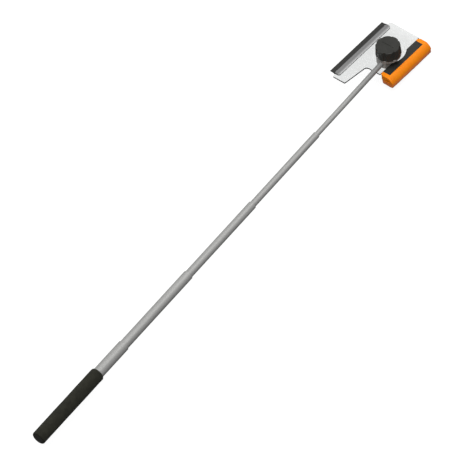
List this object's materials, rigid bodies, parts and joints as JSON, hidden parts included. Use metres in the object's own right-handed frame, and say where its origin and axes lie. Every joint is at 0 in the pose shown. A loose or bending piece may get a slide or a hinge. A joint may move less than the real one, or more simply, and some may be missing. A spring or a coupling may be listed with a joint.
{
  "type": "telescopic window squeegee",
  "caption": "Telescopic window squeegee: clear head plate with rubber blade and wash pad, swivelling on a clamp knob at the end of a friction pole with a foam grip.",
  "frame": {"origin": "centre of the grip's flat butt face, on the pole's axis", "axes": "+Y along the pole from the grip to the head; +X across to the wash pad's side; +Z to the knob's side. The head plate lies 7.2 degrees from the pole: its far end is lower than the pole's axis, and the end nearer the grip is closer to it"},
  "size_m": [0.1098, 1.1076, 0.0746],
  "materials": {
    "foam": "matt closed-cell foam",
    "steel": "satin drawn tube",
    "bronze": "plain",
    "black_plastic": "fine-textured moulding",
    "grey_plastic": "fine-textured moulding",
    "clear_plastic": "clear polycarbonate sheet",
    "smoke_plastic": "smoke-grey translucent extrusion",
    "rubber": "smooth moulded rubber",
    "orange_plastic": "semi-gloss moulding",
    "orange_sponge": "fine-pored sponge",
    "zinc_steel": "zinc-plated fastener"
  },
  "bodies": {
    "handle": {"foam_grip": "foam", "end_plug": "black_plastic", "tube_1": "steel"},
    "section_2": {"tube_2": "steel", "friction_bush_2": "bronze"},
    "section_3": {"tube_3": "steel", "friction_bush_3": "bronze"},
    "section_4": {"tube_4": "steel", "friction_bush_4": "bronze"},
    "friction_sleeve": {"friction_bush_5": "bronze"},
    "section_5": {"tube_5": "steel", "pole_hub": "grey_plastic", "hub_bush": "bronze", "hub_pin": "zinc_steel"},
    "head": {"friction_washer": "black_plastic", "clear_plate": "clear_plastic", "blade_channel": "smoke_plastic", "blade_stop_pins": "zinc_steel", "squeegee_rubber": "rubber", "pad_holder": "orange_plastic", "pad_insert": "black_plastic", "pad_screws": "zinc_steel", "pad_backing": "black_plastic", "wash_pad": "orange_sponge", "clamp_bolt": "zinc_steel", "backing_washer": "zinc_steel"},
    "clamp_washer": {"thrust_washer": "zinc_steel"},
    "knob": {"knob_body": "black_plastic", "knob_nut": "bronze"}
  },
  "joints": [
    {"name": "slide_2", "type": "slide", "parent": "handle", "child": "section_2", "axis": [0, 1, 0], "range_m": [-0.184, 0]},
    {"name": "slide_3", "type": "slide", "parent": "section_2", "child": "section_3", "axis": [0, 1, 0], "range_m": [-0.183, 0]},
    {"name": "slide_4", "type": "slide", "parent": "section_3", "child": "section_4", "axis": [0, 1, 0], "range_m": [-0.184, 0]},
    {"name": "slide_5", "type": "slide", "parent": "section_4", "child": "friction_sleeve", "axis": [0, 1, 0], "range_m": [-0.1725, 0]},
    {"name": "pole_twist", "type": "hinge", "parent": "friction_sleeve", "child": "section_5", "pos_m": [0, 0.80055, 0], "axis": [0, 1, 0], "continuous": true},
    {"name": "head_swivel", "type": "hinge", "parent": "section_5", "child": "head", "pos_m": [0, 1.03384, -0.00124], "axis": [0, -0.1253, -0.9921], "range_deg": [-10, 135]},
    {"name": "knob_lift", "type": "slide", "parent": "head", "child": "clamp_washer", "axis": [0, 0.1253, 0.9921], "range_m": [0, 0.0025]},
    {"name": "knob_turn", "type": "hinge", "parent": "clamp_washer", "child": "knob", "pos_m": [0, 1.03512, 0.00883], "axis": [0, 0.1253, 0.9921], "range_deg": [0, 720]}
  ],
  "couplings": [
    {"joint": "knob_turn", "follows": "knob_lift", "rad_per_m": 5026.5}
  ]
}
